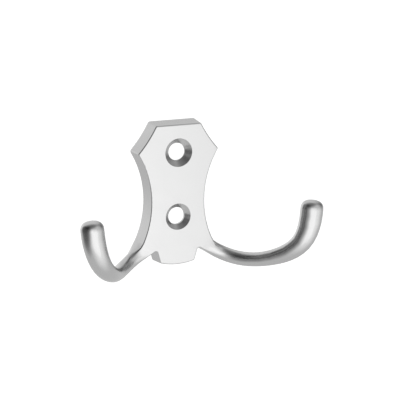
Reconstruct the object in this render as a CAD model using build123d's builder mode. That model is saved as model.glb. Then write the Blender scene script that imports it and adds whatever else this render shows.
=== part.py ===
"""A double furniture hook, die-cast in one piece, with two round prongs and two countersunk screw holes.

Frame, in millimetres: the origin lies on the wall, midway between the two screw holes.
+X is to the right, +Y goes into the wall and +Z is up, so the front face looks along -Y.
"""

import os
from math import cos, radians, sin, sqrt, tan

from build123d import *

# Plate, with its outline measured on the wall side, where the mould's draft leaves it widest
hole_pitch = 16.0
plate_depth = 4.6
draft_angle = 4.5
top_z = 15.3
top_half_width = 6.1
side_half_width = 11.0
shoulder_hollow = 0.3
waist_half_width = 7.35
waist_z = -4.2
waist_radius = 23.3
corner_radius = 0.8
front_edge_radius = 0.35

# Tongue between the prongs
notch_half_width = 5.7
notch_z = -16.6
notch_radius = 0.2
tongue_half_width = 4.8
tongue_corner_z = -19.7
tongue_low_z = -20.4

# Hollow back and screw holes
web_thickness = 1.8
rim_width = 2.0
hole_diameter = 4.3
upper_sink_diameter = 7.1
lower_sink_diameter = 6.6
sink_angle = 90.0

# Neck, the slanted line across which each prong leaves the plate
neck_top_z = -14.0
neck_bottom_x = 6.4
neck_bottom_z = -17.1

# Centre line of the right prong: it turns forward, runs under the load, rises and ends in the tip
turn_x, turn_y, turn_z = 12.7, -3.75, -18.7
rise_x, rise_y, rise_z = 21.1, -14.05, -18.0
lift_x, lift_y, lift_z = 26.35, -19.6, -13.1
tip_x, tip_y, tip_z = 28.65, -20.15, -2.8

# Thickness of the prongs, which turn round past the neck and swell towards the tip
prong_diameter = 3.5
tip_diameter = 5.6
tip_round = 2.3
taper_length = 4.0
rounding_length = 5.5
swell_start = 14.0
swell_end = 37.0
section_count = 26

# Round section: its six corners, with the middle of each edge between them, in degrees from the front
section_angles = (-138, -96.5, -55, -44, -33, 0, 33, 44, 55, 96.5, 138, 180)


def waist_x(z):
    """Half width of the plate on the waist arc at a height."""
    return waist_half_width + waist_radius - sqrt(waist_radius**2 - (z - waist_z) ** 2)


def ease(value, start, end):
    """Smooth step from 0 at the start to 1 at the end."""
    u = min(max((value - start) / (end - start), 0), 1)
    return u * u * (3 - 2 * u)


def prong_radius(run):
    """Radius of a prong a run's length from the neck, as it swells towards the tip."""
    return (prong_diameter + (tip_diameter - prong_diameter) * ease(run, swell_start, swell_end)) / 2


def prong_section(run, radius):
    """Twelve points round a prong, a run's length from the neck, blended from a bar to a circle."""
    roundness = ease(run, 0, rounding_length)
    taper = max(1 - run / taper_length, 0) ** 3
    depth = plate_depth / 2
    lean = depth * tan(radians(draft_angle))
    height = radius + (neck_height / 2 - lean - radius) * taper
    corner = front_edge_radius
    bend = corner * (1 - cos(radians(45)))
    upper = [
        (-depth, -height - lean),
        (-corner / 2, -height),
        (depth - corner, lean - height),
        (depth - bend, lean - height + bend),
        (depth, lean - height + corner),
    ]
    lower = [(x, -y) for x, y in reversed(upper)]
    bar = upper + [(depth, 0)] + lower + [(-depth, 0)]
    ring = [(radius * cos(radians(a)), radius * sin(radians(a))) for a in section_angles]
    return [Vector(*b) * (1 - roundness) + Vector(*r) * roundness for b, r in zip(bar, ring)]


side_z = waist_z + sqrt(waist_radius**2 - (waist_radius + waist_half_width - side_half_width) ** 2)
neck_top = Vector(waist_x(neck_top_z), neck_top_z)
neck_bottom = Vector(neck_bottom_x, neck_bottom_z)
neck_height = (neck_top - neck_bottom).length
neck_middle = (neck_top + neck_bottom) / 2
neck_out = Vector(neck_top.Y - neck_bottom.Y, neck_bottom.X - neck_top.X) / neck_height


def neck_face(side):
    """The flat end that the plate leaves for a prong, on the right for side 1 or the left for side -1."""
    return plate.faces().sort_by_distance((side * neck_middle.X, -plate_depth / 2, neck_middle.Y))[0]


with BuildPart() as plate:
    with BuildSketch(Plane.XZ) as outline:
        with BuildLine() as right_half:
            top = Line((0, top_z), (top_half_width, top_z))
            shoulder = SagittaArc(top @ 1, (side_half_width, side_z), -shoulder_hollow)
            waist = ThreePointArc(shoulder @ 1, (waist_half_width, waist_z), neck_top)
            neck_line = Line(neck_top, neck_bottom)
            underside = Line(neck_bottom, (notch_half_width, notch_z))
            tongue_side = Line(underside @ 1, (tongue_half_width, tongue_corner_z))
            low_arc = ThreePointArc(
                tongue_side @ 1, (0, tongue_low_z), (-tongue_half_width, tongue_corner_z)
            )
            mirror([top, shoulder, waist, neck_line, underside, tongue_side], about=Plane.YZ)
        make_face()
        for side in (1, -1):
            for corner in (top @ 1, shoulder @ 1, tongue_side @ 1):
                spot = Vector(side * corner.X, corner.Y)
                fillet(outline.vertices().sort_by_distance(spot)[0], corner_radius)
            notch = Vector(side * notch_half_width, notch_z)
            fillet(outline.vertices().sort_by_distance(notch)[0], notch_radius)
    extrude(amount=plate_depth)
    draft(plate.faces().filter_by(Axis.Y, reverse=True), Plane.XZ, draft_angle)

    front = plate.faces().sort_by(Axis.Y)[0]
    fillet(front.edges() - neck_face(1).edges() - neck_face(-1).edges(), front_edge_radius)

neck = neck_face(1)

with BuildLine() as route:
    centre_line = Spline(
        (neck.center().X, -plate_depth / 2, neck.center().Z),
        (turn_x, turn_y, turn_z),
        (rise_x, rise_y, rise_z),
        (lift_x, lift_y, lift_z),
        (tip_x, tip_y, tip_z),
        tangents=[(neck_out.X, 0, neck_out.Y), (0, 0, 1)],
        tangent_scalars=[1, 1],
    )

with BuildPart() as prong:
    sections = [neck]
    front_side = Vector(0, -1, 0)
    dome_start = centre_line.length - tip_round
    for n in range(1, section_count + 1):
        run = dome_start * n / section_count
        t = run / centre_line.length
        along = centre_line % t
        front_side = (front_side - along * front_side.dot(along)).normalized()
        place = Plane(centre_line @ t, x_dir=front_side, z_dir=along)
        points = prong_section(run, prong_radius(run))
        corners = [place.from_local_coords(p) for p in points + points[:1]]
        arcs = [Edge.make_three_point_arc(*corners[i : i + 3]) for i in range(0, len(points), 2)]
        sections.append(Face(Wire(arcs)))
    loft(sections, ruled=True)

    tip_radius = prong_radius(dome_start)
    with BuildSketch(Plane(place.origin, x_dir=front_side, z_dir=-place.y_dir)):
        with BuildLine():
            Line((0, 0), (tip_radius, 0))
            dome = CenterArc((tip_radius - tip_round, 0), tip_round, 0, 90)
            Polyline(dome @ 1, (0, tip_round), (0, 0))
        make_face()
    revolve(axis=Axis(place.origin, along))

with BuildPart() as core:
    with BuildSketch(Plane.XZ) as hollow:
        with BuildLine():
            add([top, shoulder, waist])
            mirror([top, shoulder, waist], about=Plane.YZ)
            Line(neck_top, (-neck_top.X, neck_top.Y))
        make_face()
        offset(amount=-rim_width, kind=Kind.INTERSECTION, mode=Mode.REPLACE)
        fillet(hollow.vertices(), corner_radius)
    extrude(amount=plate_depth - web_thickness)
    draft(core.faces().filter_by(Axis.Y, reverse=True), Plane.XZ, draft_angle)

with BuildPart() as hook:
    add(plate.part)
    add(prong.part)
    mirror(prong.part, about=Plane.YZ)
    add(core.part, mode=Mode.SUBTRACT)
    for z, sink_diameter in ((hole_pitch / 2, upper_sink_diameter), (-hole_pitch / 2, lower_sink_diameter)):
        with Locations(Plane((0, -plate_depth, z), z_dir=(0, -1, 0))):
            CounterSinkHole(hole_diameter / 2, sink_diameter / 2, counter_sink_angle=sink_angle)

os.makedirs("parts", exist_ok=True)
hook.part.label = "hook"
export_step(hook.part, "parts/hook.step")
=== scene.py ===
# %% [markdown]
# # A double furniture hook in satin-plated cast metal
# The real hook is one die-casting: a flared plate with two countersunk screw holes, and two round prongs
# that leave its lower corners and turn up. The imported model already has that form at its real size, in
# metres, with the wall at Y = 0 and the front looking along -Y. This lesson only dresses it: a clean
# smooth mesh, a satin metal finish, a white studio and the camera.

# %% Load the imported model
from math import cos, pi, radians, sin, sqrt

import bmesh
import bpy
from mathutils import Matrix, Vector


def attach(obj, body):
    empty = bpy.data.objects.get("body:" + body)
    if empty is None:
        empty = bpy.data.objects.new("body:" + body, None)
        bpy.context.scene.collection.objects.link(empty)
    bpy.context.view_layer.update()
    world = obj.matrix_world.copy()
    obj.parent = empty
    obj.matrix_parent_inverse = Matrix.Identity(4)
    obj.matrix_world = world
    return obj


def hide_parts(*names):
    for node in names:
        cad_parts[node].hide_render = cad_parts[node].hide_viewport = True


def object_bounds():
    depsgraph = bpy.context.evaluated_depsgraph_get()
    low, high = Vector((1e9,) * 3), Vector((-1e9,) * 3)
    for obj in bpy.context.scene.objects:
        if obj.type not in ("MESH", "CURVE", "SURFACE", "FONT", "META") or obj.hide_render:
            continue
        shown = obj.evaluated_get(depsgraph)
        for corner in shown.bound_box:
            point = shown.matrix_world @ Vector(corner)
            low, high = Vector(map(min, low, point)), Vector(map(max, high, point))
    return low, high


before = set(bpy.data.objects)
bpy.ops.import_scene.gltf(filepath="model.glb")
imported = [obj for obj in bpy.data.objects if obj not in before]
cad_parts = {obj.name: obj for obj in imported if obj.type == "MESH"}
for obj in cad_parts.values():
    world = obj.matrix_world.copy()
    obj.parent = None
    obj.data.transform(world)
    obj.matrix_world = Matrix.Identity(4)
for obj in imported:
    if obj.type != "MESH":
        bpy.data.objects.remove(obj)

MM = 0.001
cad_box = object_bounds()
cad_size = [round((high - low) / MM, 1) for low, high in zip(*cad_box)]
print("hook size in mm:", cad_size)

# %% [markdown]
# ## The casting's mesh
# The real casting is one skin without seams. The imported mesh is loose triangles, one patch for each face
# of the solid, so light would break along the seams where two patches of a prong meet. The hook could be
# modelled again with Blender's own tools, but then its sizes could drift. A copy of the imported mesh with
# its doubles merged keeps every size and can be shaded as one skin.

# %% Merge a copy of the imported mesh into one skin
merge_distance = 0.0005 * MM

casting = bpy.data.objects.new("hook_casting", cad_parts["hook"].data.copy())
bpy.context.scene.collection.objects.link(casting)
casting.data.name = "hook_casting"

skin = bmesh.new()
skin.from_mesh(casting.data)
loose_count = len(skin.verts)
bmesh.ops.remove_doubles(skin, verts=skin.verts, dist=merge_distance)
open_edges = sum(not edge.is_manifold for edge in skin.edges)
print(f"casting: {loose_count} points merged to {len(skin.verts)}")
print(f"casting: {len(skin.faces)} faces, {open_edges} open edges")

# %% [markdown]
# ## The tips
# The photo's prongs end almost flat, with a soft round edge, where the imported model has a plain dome. A
# bevel needs a clean ring of edges to work on, which a dome of triangles does not have. A formula that
# moves the points works on any mesh, and both tips get the same one. It pushes each dome out from a round
# profile to a superellipse, the curve between a circle and a square. That keeps the dome's foot and its
# height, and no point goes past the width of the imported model.

# %% Flatten the tips
# The middle of the dome's foot on the right prong, and the way that the dome points
tip_foot = Vector((28.553, -20.202, -5.097)) * MM
tip_axis = Vector((0.0835, 0.0352, 0.9959))
tip_radius = 2.8 * MM
tip_height = 2.3 * MM
# 2 leaves the round profile, and more brings it nearer to a square
squareness = 2.6

moved = 0
for side in (1, -1):
    mirrored = Matrix.Diagonal((side, 1, 1))
    foot = mirrored @ tip_foot
    axis = mirrored @ tip_axis
    for point in skin.verts:
        rise = (point.co - foot).dot(axis)
        outward = point.co - foot - axis * rise
        if rise > 0 and outward.length <= tip_radius:
            out = outward.length / tip_radius
            up = sqrt(1 - out**2)
            stretch = (out**squareness + up**squareness) ** (-1 / squareness)
            point.co = foot + outward * stretch + axis * tip_height * up * stretch
            point.co.x = min(max(point.co.x, cad_box[0][0]), cad_box[1][0])
            moved += 1
print("tip points moved:", moved)

# %% [markdown]
# ## Smooth skin, crisp edges
# The casting's long surfaces are smooth, and its real edges, such as the rims of the countersinks, are
# crisp. Many more faces would make it smooth too, but heavy. Smooth shading costs nothing, and each edge
# stays sharp where its two faces meet at a wide enough angle. A Weighted Normal modifier then lets the
# large flat faces decide the shading beside small rounded edges, which keeps flats flat.

# %% Shade the skin
sharp_angle = radians(32)

for face in skin.faces:
    face.smooth = True
for edge in skin.edges:
    edge.smooth = edge.calc_face_angle(pi) < sharp_angle
sharp_count = sum(not edge.smooth for edge in skin.edges)
skin.to_mesh(casting.data)
skin.free()

flats_first = casting.modifiers.new("flats keep their shading", "WEIGHTED_NORMAL")
flats_first.keep_sharp = True

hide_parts("hook")
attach(casting, "root")
print("sharp edges:", sharp_count)

# %% [markdown]
# ## Shader maths
# A finish is a small formula: grain here, a little more gloss there. Nodes could be added and linked one
# by one, but a formula is hard to read in that form. So one class wraps a socket and turns Python's
# operators into Math nodes, and its method `node` adds any other node by type.


# %% A socket that Python can calculate with
class Value:
    """An output socket. Sums with numbers or other values add Math nodes to its tree."""

    def __init__(self, tree, socket):
        self.tree = tree
        self.socket = socket

    def node(self, kind, settings=None, **inputs):
        """Add a node: settings are its properties, inputs its sockets by name with _ for a space."""
        made = self.tree.nodes.new(kind)
        for name, setting in (settings or {}).items():
            setattr(made, name, setting)
        for name, given in inputs.items():
            self.feed(made.inputs[name.replace("_", " ")], given)
        return made

    def feed(self, socket, given):
        """Link a value into a socket, or set a plain number, colour or vector on it."""
        if isinstance(given, Value):
            self.tree.links.new(given.socket, socket)
        else:
            socket.default_value = given

    def out(self, made, name):
        """One output of a node as a value."""
        return Value(self.tree, made.outputs[name])

    def math(self, operation, first, second):
        """One Math node on two values or numbers."""
        made = self.node("ShaderNodeMath", {"operation": operation})
        self.feed(made.inputs[0], first)
        self.feed(made.inputs[1], second)
        return self.out(made, "Value")

    def __add__(self, other):
        return self.math("ADD", self, other)

    __radd__ = __add__

    def __sub__(self, other):
        return self.math("SUBTRACT", self, other)

    def __rsub__(self, other):
        return self.math("SUBTRACT", other, self)

    def __mul__(self, other):
        return self.math("MULTIPLY", self, other)

    __rmul__ = __mul__

    def along(self, axis):
        """How far a direction goes along an axis: 1 straight along it, -1 straight against it."""
        made = self.node("ShaderNodeVectorMath", {"operation": "DOT_PRODUCT"})
        self.feed(made.inputs[0], self)
        self.feed(made.inputs[1], Vector(axis).normalized())
        return self.out(made, "Value")

    def between(self, low, high):
        """0 below low, 1 above high and a smooth step between."""
        smooth = {"interpolation_type": "SMOOTHSTEP"}
        made = self.node("ShaderNodeMapRange", smooth, Value=self, From_Min=low, From_Max=high)
        return self.out(made, "Result")


def start(tree, kind, output):
    """The first value of a tree: one output of a new node."""
    return Value(tree, tree.nodes.new(kind).outputs[output])


print("shader maths ready")

# %% [markdown]
# ## Satin plate
# Such a hook is tumbled after casting and then plated, so it is metal with a soft, even sheen. Close to,
# the sheen is a fine grain with no direction, and the long surfaces keep a trace of the casting's
# waviness. An image could hold both, but it needs a UV map and blurs close to. Two noises on Object
# coordinates do neither, and they change the roughness alone, so the metal's colour stays even.

# %% The satin plate finish
plate_colour = (0.55, 0.55, 0.55, 1.0)
edge_colour = (0.9, 0.9, 0.9, 1.0)
satin_roughness = 0.2
grain_size = 0.12 * MM
grain_depth = 0.10
wave_size = 3.0 * MM
wave_depth = 0.08
noise_detail = 2.0
noise_middle = 0.5


def uneven(place, size):
    """Noise with spots of about one size, which goes as far below 0 as above it."""
    noise = place.node("ShaderNodeTexNoise", Vector=place, Scale=1 / size, Detail=noise_detail)
    return place.out(noise, "Fac") - noise_middle


def satin_plate():
    """Grey metal whose roughness carries the grain and the waves."""
    material = bpy.data.materials.new("satin_plate")
    material.use_nodes = True
    tree = material.node_tree
    shader = tree.nodes["Principled BSDF"]
    shader.inputs["Base Color"].default_value = plate_colour
    shader.inputs["Metallic"].default_value = 1.0
    shader.inputs["Specular Tint"].default_value = edge_colour
    place = start(tree, "ShaderNodeTexCoord", "Object")
    grain = uneven(place, grain_size) * grain_depth
    waves = uneven(place, wave_size) * wave_depth
    place.feed(shader.inputs["Roughness"], satin_roughness + grain + waves)
    return material


casting.data.materials.clear()
casting.data.materials.append(satin_plate())
print("finish:", casting.data.materials[0].name)

# %% [markdown]
# ## The studio
# Metal shows its surroundings, so the surroundings are the lighting. A white cove stands behind the hook
# and white paper lies below it, and a large soft panel shines from the front. Two dark cards, on the left
# and overhead, draw the dark lines on the prongs. All of them could be sheets that stand round the hook,
# but a sheet has a hard rim that the metal shows. Here each is a soft patch of the world round one
# direction. The camera itself sees plain white behind the hook.

# %% The world
# A patch fades in from start to end, both as the cosine of the angle from its axis. Its level is its
# brightness, or for a card the share of the light that it takes away.
plain_white = (1.0, 1.0, 1.0, 1.0)
dim_room = 0.19
cove = {"axis": (-0.12, 0.72, 0.68), "start": 0.3, "end": 0.98, "level": 0.72}
paper = {"axis": (-0.17, 0.06, -0.98), "start": -0.47, "end": 0.2, "level": 0.57}
front_panel = {"axis": (0.18, -0.96, 0.22), "start": -0.04, "end": 0.92, "level": 0.65}
left_card = {"axis": (-0.95, 0.0, 0.3), "start": 0.44, "end": 0.96, "level": 0.58}
top_card = {"axis": (-0.3, -0.2, 0.93), "start": 0.56, "end": 0.98, "level": 0.62}


def white_studio():
    """A world that is plain white to the camera and holds the patches for everything else."""
    world = bpy.data.worlds.new("white studio")
    world.use_nodes = True
    tree = world.node_tree
    camera_sees = start(tree, "ShaderNodeLightPath", "Is Camera Ray")
    direction = start(tree, "ShaderNodeTexCoord", "Generated")

    def patch(source):
        return direction.along(source["axis"]).between(source["start"], source["end"]) * source["level"]

    shine = patch(cove) + patch(paper) + patch(front_panel) + dim_room
    shine = shine * (1 - patch(left_card)) * (1 - patch(top_card))
    light = tree.nodes["Background"]
    light.inputs["Color"].default_value = plain_white
    shine.feed(light.inputs["Strength"], camera_sees + (1 - camera_sees) * shine)
    return world


bpy.context.scene.world = white_studio()
print("world:", bpy.context.scene.world.name)

# %% [markdown]
# ## The floor
# The floor is a pale sheet well below the hook. A backdrop that curves up behind the hook would do as
# well, but the world already gives the white there, so one flat sheet is enough. It glows for the camera
# alone, which lifts it to the white of the cove, and the rest of its brightness is light that falls on
# it, so it can still take a shadow. Metal sees the painted paper in its place.

# %% The floor
floor_drop = 200 * MM
floor_reach = 6.0
floor_glow = 0.72
floor_colour = (0.8, 0.8, 0.8, 1.0)
square = ((-1, -1), (1, -1), (1, 1), (-1, 1))


def matte(name, colour):
    """A material of one plain colour with no gloss."""
    material = bpy.data.materials.new(name)
    material.use_nodes = True
    shader = material.node_tree.nodes["Principled BSDF"]
    shader.inputs["Base Color"].default_value = colour
    shader.inputs["Roughness"].default_value = 1.0
    shader.inputs["Specular IOR Level"].default_value = 0.0
    return material


def cover(tree, joint, first, second):
    """Join two shaders in the last two sockets of an Add or Mix Shader, and make that the surface."""
    for shader, socket in zip((first, second), list(joint.inputs)[-2:]):
        tree.links.new(shader.outputs[0], socket)
    tree.links.new(joint.outputs[0], tree.nodes["Material Output"].inputs["Surface"])


def sheet(name, corners, material):
    """A flat sheet of the studio through four corners."""
    mesh = bpy.data.meshes.new(name)
    mesh.from_pydata(corners, [], [(0, 1, 2, 3)])
    mesh.materials.append(material)
    made = bpy.data.objects.new(name, mesh)
    bpy.context.scene.collection.objects.link(made)
    return made


def pale_floor():
    """A matte floor with a glow that only the camera sees."""
    material = matte("pale_floor", floor_colour)
    tree = material.node_tree
    camera_sees = start(tree, "ShaderNodeLightPath", "Is Camera Ray")
    glow = camera_sees.node("ShaderNodeEmission", Strength=floor_glow * camera_sees)
    cover(tree, tree.nodes.new("ShaderNodeAddShader"), tree.nodes["Principled BSDF"], glow)
    return material


floor_corners = [(x * floor_reach, y * floor_reach, -floor_drop) for x, y in square]
floor = sheet("floor", floor_corners, pale_floor())
floor.visible_glossy = False
floor.visible_shadow = False
print("floor at", -floor_drop)

# %% [markdown]
# ## The near card
# In the photo the left tip shows a darker line than the right one. The far studio can't give that,
# because both tips look the same way into it. So a small dark card stands close to the left tip, as a
# photographer would hold one there. A plain black card would leave a hard black spot on the tip. This one
# thins to nothing at its rim, which keeps the line soft, and the camera does not see it.

# %% The near card
near_card_centre = Vector((-46, -21, -3)) * MM
near_card_core = 8 * MM
near_card_reach = 30 * MM
near_card_density = 0.7
near_card_colour = (0.02, 0.02, 0.02, 1.0)


def soft_black():
    """Matte black that turns clear between the core of the card and its rim."""
    material = matte("soft_black", near_card_colour)
    tree = material.node_tree
    place = start(tree, "ShaderNodeTexCoord", "Object")
    away = place.node("ShaderNodeVectorMath", {"operation": "DISTANCE"})
    place.feed(away.inputs[0], place)
    place.feed(away.inputs[1], near_card_centre)
    rim = place.out(away, "Value").between(near_card_core, near_card_reach)
    joint = place.node("ShaderNodeMixShader", Fac=(1 - rim) * near_card_density)
    clear = tree.nodes.new("ShaderNodeBsdfTransparent")
    cover(tree, joint, clear, tree.nodes["Principled BSDF"])
    return material


near_card_corners = [near_card_centre + Vector((0, y, z)) * near_card_reach for y, z in square]
near_card = sheet("near card", near_card_corners, soft_black())
near_card.visible_camera = False
print("near card at", [round(c, 3) for c in near_card_centre])

# %% [markdown]
# ## The lamp
# One lamp faces the hook from in front and a little below. A small bright lamp would draw a hard streak
# on each prong. This one is a broad, weak panel. The plate mirrors its right end, so the front face fades
# a little from left to right, and the tips and the necks of the prongs catch it as a soft light.

# %% The lamp
key_turn = radians(-3)
key_rise = radians(-8)
key_distance = 0.40
key_side = 0.42
key_radiance = 0.25


def pointing(turn, rise):
    """The way from the hook to something that is turned to the right of its front and raised."""
    return Vector((sin(turn) * cos(rise), -cos(turn) * cos(rise), sin(rise)))


lamp = bpy.data.lights.new("key panel", "AREA")
lamp.size = key_side
lamp.energy = key_radiance * pi * key_side**2
key_panel = bpy.data.objects.new("key panel", lamp)
key_way = pointing(key_turn, key_rise)
key_panel.location = (Vector(cad_box[0]) + Vector(cad_box[1])) / 2 + key_way * key_distance
key_panel.rotation_euler = key_way.to_track_quat("Z", "Y").to_euler()
key_panel.visible_camera = False
bpy.context.scene.collection.objects.link(key_panel)
print("lamp:", key_panel.name, "at", [round(c, 3) for c in key_panel.location])

# %% [markdown]
# ## The camera
# The photo's view was solved from the plate's outline and the screw holes. The camera is far off with a
# long lens, a little to the left and above. A Track To constraint could aim it, but would hold it level,
# and the photo has a slight roll. So the camera's three axes are worked out here and set as its matrix.

# %% The camera
view_turn = radians(-24.10)
view_rise = radians(13.72)
view_roll = radians(0.665)
view_distance = 548.6 * MM
view_centre = Vector((4.247, -8.0, -3.415)) * MM
focal_pixels = 2257.5
frame_pixels = 400
sensor_width = 36.0

lens = bpy.data.cameras.new("photo view")
lens.sensor_width = sensor_width
lens.lens = focal_pixels / frame_pixels * sensor_width
camera = bpy.data.objects.new("photo view", lens)
bpy.context.scene.collection.objects.link(camera)
towards_camera = pointing(view_turn, view_rise)
level = Vector((0, 0, 1)).cross(towards_camera).normalized()
upright = towards_camera.cross(level)
across = level * cos(view_roll) + upright * sin(view_roll)
upward = upright * cos(view_roll) - level * sin(view_roll)
turn = Matrix((across, upward, towards_camera)).transposed()
camera.matrix_world = Matrix.Translation(view_centre + towards_camera * view_distance) @ turn.to_4x4()
bpy.context.scene.camera = camera
bpy.context.scene.view_settings.view_transform = "Standard"
print("camera at", [round(c, 3) for c in camera.matrix_world.translation])
